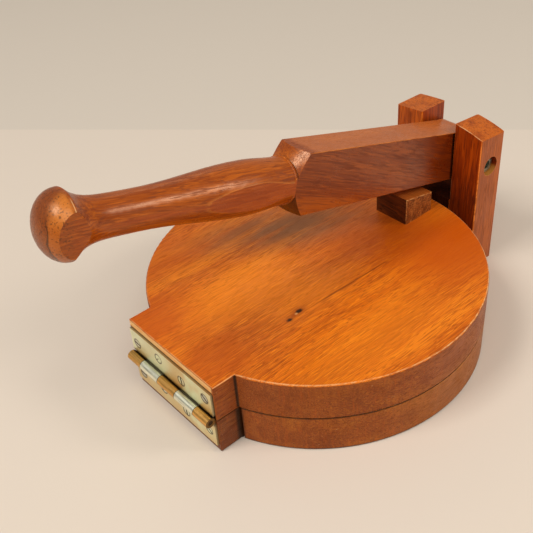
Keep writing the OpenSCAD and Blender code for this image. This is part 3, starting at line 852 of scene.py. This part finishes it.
def knob_marks(wood, x, near, z, flat, round_part):
    """Brown end grain of the knob, the bright flame beside its near flat and a painted highlight
    on its ridge.
    """
    dome = wood.step(x, DOME_AT, DOME_AT - 0.003)
    high_up = wood.step(z, 0.004, 0.012)
    rise = wood.times(wood.larger(wood.minus(z, 0.004), 0.0), 0.55)
    cloud = wood.times(wood.noise(wood.place, 0.006, 3), 0.003)
    reach = wood.plus(wood.plus(near, rise), cloud)
    full = wood.mix(high_up, FLAME_FULL_LOW, FLAME_FULL_HIGH)
    flame = wood.both(dome, wood.step(reach, FLAME_START, full), round_part)
    wood.tint(KNOB_BROWN, dome, wood.minus(0.62, wood.times(flat, 0.42)))
    # The flame is paler high on the knob, partly as a painted highlight.
    wood.tint(wood.mix(high_up, FLAME_LOW, PALE_FLAME_AND_HIGHLIGHT), flame, 0.65)
    line = wood.band(reach, FLAME_START + 0.0002, 0.0003, 0.0006)
    wood.tint(FLAME_LINE, dome, line, wood.opposite(high_up), 0.75)
    pores = wood.noise(wood.vector("MULTIPLY", wood.board, (0.7, 1, 1)), KNOB_PORE_SIZE, 2, 0.6)
    wood.tint(KNOB_PORES, dome, wood.step(pores, 0.56, 0.64, 0, 0.65))
    # Painted highlight along the upper ridge of the knob.
    ridge = wood.both(wood.band(x, DOME_AT - 0.0008, 0.0002, 0.0002),
                      wood.step(z, 0.009, 0.012), round_part, wood.step(near, 0.006, 0.009))
    wood.tint(RIDGE_HIGHLIGHT, ridge, 0.6)


# Metal --------------------------------

METAL_RELIEF = 0.00002
SPECK_SIZE, SPECK_ROUGHNESS = 0.0009, 0.12


def plated(name, look, base, other, dirt=0.35):
    """Plated metal with soft patches and specks of dirt."""
    metal = Finish(name)
    patches = metal.noise(metal.place, look.patch, 2, 0.5)
    specks = metal.noise(metal.place, SPECK_SIZE, 3, 0.7)
    metal.colour = metal.mix(metal.step(patches, 0.42, 0.62), base, other)
    metal.tint(look.tarnish_and_shade, metal.step(specks, 0.60, 0.74, 0, dirt))
    metal.roughness = metal.plus(metal.step(specks, 0.4, 0.7, 0.0, SPECK_ROUGHNESS), look.gloss)
    metal.height = specks
    return metal


def finish_metal(metal):
    """Closes a plated metal."""
    return metal.close(metal.colour, metal.roughness, metal.height, METAL_RELIEF, Metallic=1.0)


def screw_distance(metal, side):
    """How far a place on a leaf is from the middle of the nearest screw."""
    count = metal.plus(metal.math("DIVIDE", metal.y, SCREW_PITCH), 2.0)
    across = metal.times(metal.minus(metal.math("FRACT", count), 0.5), SCREW_PITCH)
    odd = metal.math("MODULO", metal.math("FLOOR", count), 2.0)
    shift = metal.minus(SCREW_STAGGER, metal.times(odd, 2 * SCREW_STAGGER))
    above = metal.minus(metal.minus(metal.z, PIN.z + side * SCREW_ROW), shift)
    return metal.length(metal.joined(0.0, across, above))


def leaf_screw(name, look, side):
    """Dull screw heads with a dark rim and a dark slot. The upper leaf is 1, the lower -1."""
    metal = plated(name, look, look.screw, look.leaf, 0.6)
    away = screw_distance(metal, side)
    metal.tint(look.tarnish_and_shade, metal.step(away, SCREW_HEAD - 0.0007, SCREW_HEAD - 0.0002, 0, 0.7))
    metal.tint(look.tarnish_and_shade, metal.step(metal.unsigned(metal.to_x), 0.9, 0.6))
    return finish_metal(metal)


def hinge_leaf(name, look, leaf, other, knuckle, side):
    """A hinge leaf: flat plating, rolled knuckles, painted shade round the barrel and dark edges.
    """
    metal = plated(name, look, leaf, other, 0.25)
    x, y, z = metal.parts(metal.vector("SUBTRACT", metal.place, PIN))
    metal.tint(leaf, metal.step(y, -0.006, 0.006, 0, 0.75))
    metal.tint(look.low_leaf, metal.step(y, -0.018, -0.034, 0, 0.60))
    out = metal.length(metal.joined(x, 0.0, z))
    barrel = metal.step(out, BARREL_RADIUS + 0.0001, BARREL_RADIUS - 0.0001)
    off_barrel = metal.opposite(barrel)
    # Painted shade on the leaf next to the barrel.
    barrel_shade = metal.step(out, BARREL_RADIUS + 0.00255, BARREL_RADIUS + 0.00015, 0, 0.85)
    metal.tint(look.tarnish_and_shade, barrel_shade, off_barrel)
    ring = metal.band(screw_distance(metal, side), SCREW_HEAD + 0.0001, 0.0003, 0.0003)
    metal.tint(look.tarnish_and_shade, ring, 0.7)
    flat = metal.step(metal.unsigned(metal.to_x), 0.6, 0.9)
    metal.tint(look.tarnish_and_shade, metal.opposite(flat), off_barrel, 0.50)
    metal.tint(rolled_tone(metal, look, knuckle), barrel)
    ends = metal.both(barrel, metal.step(metal.unsigned(metal.to_y), 0.5, 0.9))
    metal.tint(look.tarnish_and_shade, ends, 0.8)
    return finish_metal(metal)


def rolled_tone(metal, look, knuckle):
    """Tone of a rolled knuckle: drawn lines along it, and painted shade below and towards the
    leaf.
    """
    lines = metal.streaked((1, 0.06, 1), SPECK_SIZE, 2, 0.6)
    rolled = metal.mix(metal.step(lines, 0.40, 0.70, 0, 0.55), knuckle, scaled(knuckle, 0.35))
    # Painted shade on the lower side of the knuckle and on its back towards the leaf.
    rolled = metal.mix(metal.step(metal.to_z, 0.05, -0.50, 0, 0.65), rolled, look.tarnish_and_shade)
    return metal.mix(metal.step(metal.to_x, 0.10, 0.60, 0, 0.85), rolled, look.tarnish_and_shade)


# Operators ----------------------------

WELD = 1e-6
SMOOTH_BELOW = radians(17)
STEEL_NODES = ("pivot_bolt", "pivot_nut", "near_washer", "far_washer",
               "near_post_screws", "far_post_screws", "block_screws")


def dress(node, material):
    """Gives a node of the packed model its finish."""
    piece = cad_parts[node]
    if not piece.material_slots:
        raise RuntimeError(node + " has no material slot")
    for slot in piece.material_slots:
        slot.material = material


def smoothed(node, name, angle):
    """A copy of a node whose turned surfaces shade smoothly and whose flats stay flat."""
    bpy.ops.object.select_all(action="DESELECT")
    piece = bpy.data.objects.new(name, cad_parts[node].data.copy())
    bpy.context.collection.objects.link(piece)
    bpy.context.view_layer.objects.active = piece
    piece.select_set(True)
    bpy.ops.mesh.customdata_custom_splitnormals_clear()
    bpy.ops.object.mode_set(mode="EDIT")
    bpy.ops.mesh.select_all(action="SELECT")
    bpy.ops.mesh.remove_doubles(threshold=WELD)
    bpy.ops.object.mode_set(mode="OBJECT")
    bpy.ops.object.shade_smooth_by_angle(angle=angle, keep_sharp_edges=False)
    weights = piece.modifiers.new("flat_faces_first", "WEIGHTED_NORMAL")
    weights.keep_sharp = True
    bpy.ops.object.modifier_apply(modifier=weights.name)
    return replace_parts(piece, node)


class PRESS_OT_plates(bpy.types.Operator):
    """Finish the two round plates"""
    bl_idname = "press.plates"
    bl_label = "Finish the plates"

    def execute(self, context):
        look = context.scene.press_plates
        dress("top_plate", plate_wood("upper_plate_wood", look, 0.0, True))
        dress("bottom_plate", plate_wood("lower_plate_wood", look, NEXT_CUT, False))
        return {"FINISHED"}


class PRESS_OT_posts(bpy.types.Operator):
    """Finish the two posts and their spacer"""
    bl_idname = "press.posts"
    bl_label = "Finish the posts"

    def execute(self, context):
        look = context.scene.press_posts
        dress("near_post", post_wood("near_post_wood", look, -1))
        dress("far_post", post_wood("far_post_wood", look, 1))
        dress("post_spacer", spacer_wood("spacer_wood", look))
        return {"FINISHED"}


class PRESS_OT_block(bpy.types.Operator):
    """Finish the block that the lever bears on"""
    bl_idname = "press.block"
    bl_label = "Finish the block"

    def execute(self, context):
        dress("press_block", block_wood("block_wood", context.scene.press_block))
        return {"FINISHED"}


class PRESS_OT_lever(bpy.types.Operator):
    """Smooth and finish the lever with its turned handle"""
    bl_idname = "press.lever"
    bl_label = "Finish the lever"

    def execute(self, context):
        lever = smoothed("lever", "lever_board", SMOOTH_BELOW)
        lever.data.materials.clear()
        lever.data.materials.append(lever_wood("lever_wood", context.scene.press_lever))
        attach(lever, "lever")
        return {"FINISHED"}


class PRESS_OT_hinge(bpy.types.Operator):
    """Finish the hinge leaves and their pin"""
    bl_idname = "press.hinge"
    bl_label = "Finish the hinge"

    def execute(self, context):
        look = context.scene.press_metal
        dress("hinge_upper_leaf",
              hinge_leaf("upper_leaf_plating", look, look.leaf, look.low_leaf, look.silver, 1))
        dress("hinge_lower_leaf",
              hinge_leaf("lower_leaf_plating", look, look.low_leaf, look.leaf, look.gold, -1))
        dress("hinge_pin", finish_metal(plated("pin_plating", look, look.tarnish_and_shade, look.gold)))
        return {"FINISHED"}


class PRESS_OT_leaf_screws(bpy.types.Operator):
    """Finish the screws of the hinge leaves"""
    bl_idname = "press.leaf_screws"
    bl_label = "Finish the leaf screws"

    def execute(self, context):
        look = context.scene.press_metal
        dress("upper_leaf_screws", leaf_screw("upper_screw_metal", look, 1))
        dress("lower_leaf_screws", leaf_screw("lower_screw_metal", look, -1))
        return {"FINISHED"}


class PRESS_OT_fasteners(bpy.types.Operator):
    """Finish the pivot bolt, nut, washers and wood screws"""
    bl_idname = "press.fasteners"
    bl_label = "Finish the fasteners"

    def execute(self, context):
        look = context.scene.press_metal
        steel = finish_metal(plated("zinc_plated_steel", look, look.steel, look.leaf))
        for node in STEEL_NODES:
            dress(node, steel)
        return {"FINISHED"}


# Stage --------------------------------

# Each light: its name, its setting, its place, what it looks at, its width and its colour.
LIGHTS = (
    ("front_light", "front_power", (-0.67, -1.15, 1.84), (0, 0, 0.05), 1.60, (1.0, 0.96, 0.90)),
    ("left_light", "left_power", (-1.36, 0.28, 1.94), (0, 0, 0.08), 0.80, (1.0, 0.96, 0.90)),
    ("right_light", "right_power", (1.06, -1.23, 1.12), (-0.08, 0, 0.14), 0.50,
     (1.0, 0.93, 0.84)),
    ("back_light", "back_power", (1.10, 1.39, 1.32), (0, 0, 0.03), 0.60, (1.0, 0.84, 0.58)),
)
CAMERA_PLACE = (-0.261854, -0.287245, 0.345765)
CAMERA_TURN, CAMERA_LIFT, CAMERA_ROLL = radians(-38.14), radians(37.49), radians(-4.81)
SENSOR_WIDTH = 36
# The floor lies just under the press. Past a straight line it takes its second tone.
FLOOR_LEVEL = -0.0002
TONE_LINE, TONE_LINE_START, TONE_LINE_END = (0.745, 0.667), 0.2505, 0.2535
FLOOR_ROUGHNESS, FLOOR_SHINE, FLOOR_RELIEF, GRIT_SIZE = (0.62, 0.70), 0.2, 0.00001, 0.02


def lay_floor(look):
    """A large plain floor in two pale tones."""
    bpy.ops.mesh.primitive_plane_add(size=look.floor_size, location=(0, 0, FLOOR_LEVEL))
    floor = bpy.context.object
    floor.name = "floor"
    floor.data.transform(Matrix.Translation(floor.location))
    floor.location = (0, 0, 0)
    stone = Finish("pale_floor")
    past = stone.plus(*(stone.times(*pair) for pair in zip((stone.x, stone.y), TONE_LINE)))
    colour = stone.mix(stone.step(past, TONE_LINE_START, TONE_LINE_END), look.floor, look.beyond)
    grit = stone.noise(stone.place, GRIT_SIZE, 3, 0.6)
    floor.data.materials.append(stone.close(
        colour, stone.step(grit, 0.3, 0.7, *FLOOR_ROUGHNESS), grit, FLOOR_RELIEF,
        Specular_IOR_Level=FLOOR_SHINE))


def fill_air(look):
    """Even light from all round."""
    world = bpy.data.worlds.new("studio_air")
    world.use_nodes = True
    air = world.node_tree.nodes["Background"]
    air.inputs["Color"].default_value = (*look.air, 1)
    air.inputs["Strength"].default_value = look.air_power
    bpy.context.scene.world = world


def soft_light(name, power, place, aim, width, colour):
    """A square soft light that looks at a point."""
    bpy.ops.object.light_add(type="AREA", location=place)
    light = bpy.context.object
    light.name = name
    light.rotation_euler = (Vector(aim) - Vector(place)).to_track_quat("-Z", "Y").to_euler()
    light.data.shape = "SQUARE"
    light.data.size = width
    light.data.energy = power
    light.data.color = colour


def place_camera(look):
    """The camera, high off the near corner of the hinge end."""
    bpy.ops.object.camera_add()
    camera = bpy.context.object
    camera.name = "camera"
    camera.data.sensor_width = SENSOR_WIDTH
    camera.data.lens = look.lens
    camera.matrix_world = (Matrix.Translation(CAMERA_PLACE)
                           @ Matrix.Rotation(CAMERA_TURN, 4, "Z")
                           @ Matrix.Rotation(radians(90) - CAMERA_LIFT, 4, "X")
                           @ Matrix.Rotation(CAMERA_ROLL, 4, "Z"))
    bpy.context.scene.camera = camera


class PRESS_OT_stage(bpy.types.Operator):
    """Make the floor, lights and camera"""
    bl_idname = "press.stage"
    bl_label = "Set the stage"

    def execute(self, context):
        look = context.scene.press_stage
        bpy.ops.object.select_all(action="DESELECT")
        lay_floor(look)
        fill_air(look)
        for name, power, *rest in LIGHTS:
            soft_light(name, getattr(look, power), *rest)
        place_camera(look)
        context.scene.view_settings.view_transform = "Standard"
        return {"FINISHED"}


class VIEW3D_PT_press(bpy.types.Panel):
    """Steps and settings of the tortilla press"""
    bl_label = "Tortilla Press"
    bl_space_type = "VIEW_3D"
    bl_region_type = "UI"
    bl_category = "Press"

    def draw(self, context):
        for step in STEPS:
            self.layout.operator(step.bl_idname)
        for name, look in LOOKS.items():
            box = self.layout.box()
            box.label(text=look.__doc__)
            for setting in look.__annotations__:
                box.prop(getattr(context.scene, name), setting)


STEPS = (PRESS_OT_plates, PRESS_OT_posts, PRESS_OT_block, PRESS_OT_lever, PRESS_OT_hinge,
         PRESS_OT_leaf_screws, PRESS_OT_fasteners, PRESS_OT_stage)


def register():
    for look in LOOKS.values():
        bpy.utils.register_class(look)
    for name, look in LOOKS.items():
        setattr(bpy.types.Scene, name, bpy.props.PointerProperty(type=look))
    for step in (*STEPS, VIEW3D_PT_press):
        bpy.utils.register_class(step)


def unregister():
    for step in (VIEW3D_PT_press, *STEPS[::-1]):
        bpy.utils.unregister_class(step)
    for name, look in LOOKS.items():
        delattr(bpy.types.Scene, name)
        bpy.utils.unregister_class(look)


def main():
    """Registers the add-on and takes its steps in order."""
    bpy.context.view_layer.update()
    register()
    bpy.ops.press.plates()
    bpy.ops.press.posts()
    bpy.ops.press.block()
    bpy.ops.press.lever()
    bpy.ops.press.hinge()
    bpy.ops.press.leaf_screws()
    bpy.ops.press.fasteners()
    bpy.ops.press.stage()


if __name__ == "__main__":
    main()
